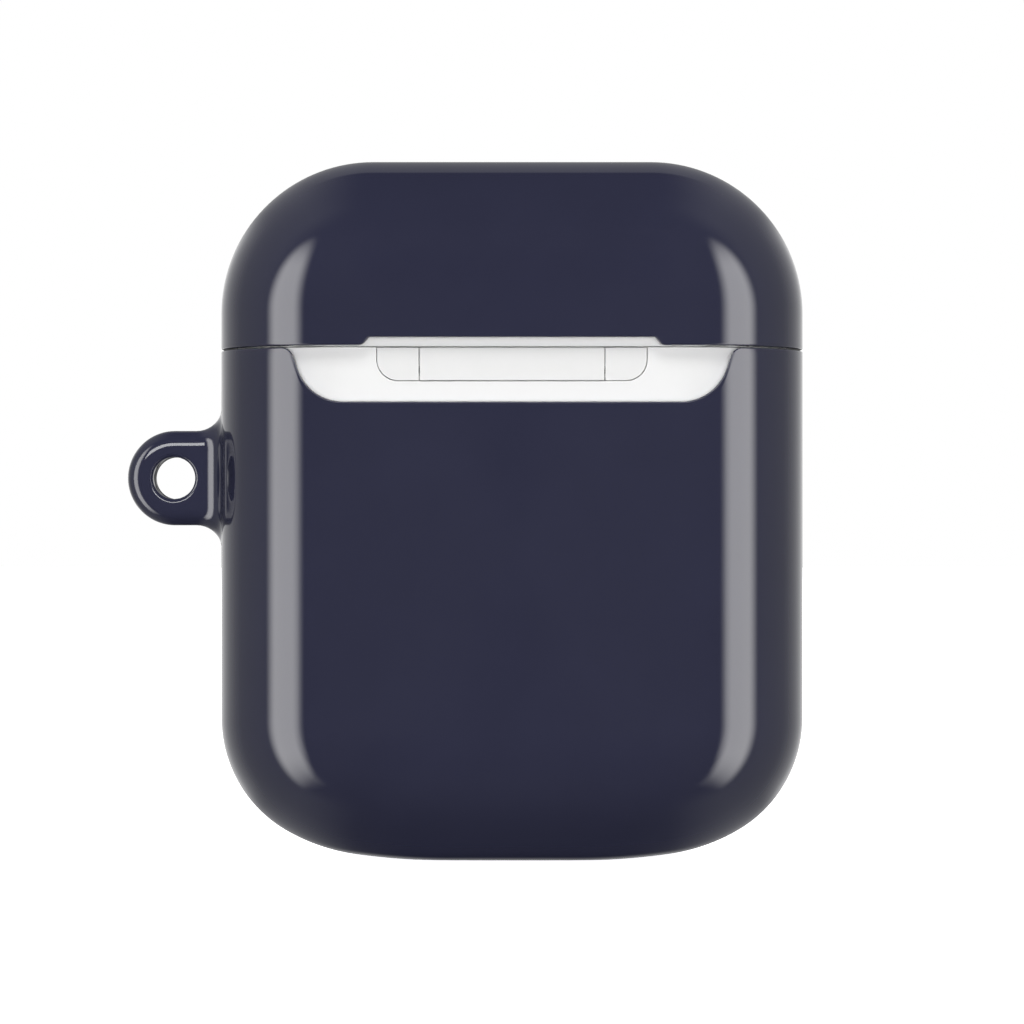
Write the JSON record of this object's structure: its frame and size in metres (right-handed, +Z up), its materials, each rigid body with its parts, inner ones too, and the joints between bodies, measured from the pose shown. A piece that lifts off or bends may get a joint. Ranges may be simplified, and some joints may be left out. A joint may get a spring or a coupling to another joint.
{
  "type": "wireless earbuds case",
  "caption": "Wireless earbuds charging case in a glossy hard cover with a keyring lug; its hinged lid opens over stem-shaped earbud wells.",
  "frame": {"origin": "middle of the mouth of the charging way, in the plane of the flat the case stands on", "axes": "+Z up, +X to the side that has the keyring lug, +Y to the back, where the lid is hinged"},
  "size_m": [0.0547, 0.024, 0.0564],
  "materials": {
    "cover": "glossy injection-moulded hard cover, dark navy",
    "tape": "thin double-sided adhesive film",
    "shell": "smooth glossy white plastic",
    "liner": "satin white plastic",
    "hinge_plate": "satin off-white coated metal",
    "steel": "plain machined steel",
    "magnet": "nickel-plated magnet",
    "battery": "satin foil pouch",
    "foam": "closed-cell foam with adhesive",
    "board": "solder-masked circuit board",
    "chip": "moulded black epoxy",
    "gold": "gold-plated contact",
    "flex": "amber polyimide film",
    "led": "clear epoxy over a light-emitting chip",
    "light_pipe": "clear moulded light guide"
  },
  "bodies": {
    "base_cover": {"base_cover": "cover"},
    "case_base": {"base_shell": "shell", "base_liner": "liner", "hinge_base_leaf": "hinge_plate", "hinge_pin": "steel", "hinge_screws": "steel", "detent_spring": "steel", "base_magnets": "magnet", "battery": "battery", "battery_pad": "foam", "main_board": "board", "board_chips": "chip", "board_screws": "steel", "charging_port": "steel", "port_tongue": "chip", "contact_blocks": "chip", "button_switch": "chip", "switch_board": "board", "flex_cable": "flex", "status_led": "led", "light_pipe": "light_pipe", "lid_sensor": "chip"},
    "lid": {"lid_shell": "shell", "lid_liner": "liner", "hinge_lid_leaf": "hinge_plate", "lid_magnets": "magnet"},
    "lid_cover": {"lid_cover": "cover", "lid_cover_tape": "tape"},
    "setup_button": {"setup_button": "shell"},
    "left_contacts": {"left_contact_pins": "gold"},
    "right_contacts": {"right_contact_pins": "gold"}
  },
  "joints": [
    {"name": "case_lift", "type": "slide", "parent": "base_cover", "child": "case_base", "axis": [0, 0, 1], "range_m": [0, 0.042]},
    {"name": "lid_hinge", "type": "hinge", "parent": "case_base", "child": "lid", "pos_m": [0, 0.01, 0.0392], "axis": [-1, 0, 0], "range_deg": [0, 90]},
    {"name": "lid_cover_pull", "type": "slide", "parent": "lid", "child": "lid_cover", "axis": [0, 0, 1], "range_m": [0, 0.016]},
    {"name": "setup_button_press", "type": "slide", "parent": "case_base", "child": "setup_button", "axis": [0, -1, 0], "range_m": [0, 0.0003], "stiffness_N_per_m": 500, "springref_m": -0.0005},
    {"name": "left_contacts_press", "type": "slide", "parent": "case_base", "child": "left_contacts", "axis": [0, 0, -1], "range_m": [0, 0.0004], "stiffness_N_per_m": 200, "springref_m": -0.0005},
    {"name": "right_contacts_press", "type": "slide", "parent": "case_base", "child": "right_contacts", "axis": [0, 0, -1], "range_m": [0, 0.0004], "stiffness_N_per_m": 200, "springref_m": -0.0005}
  ]
}
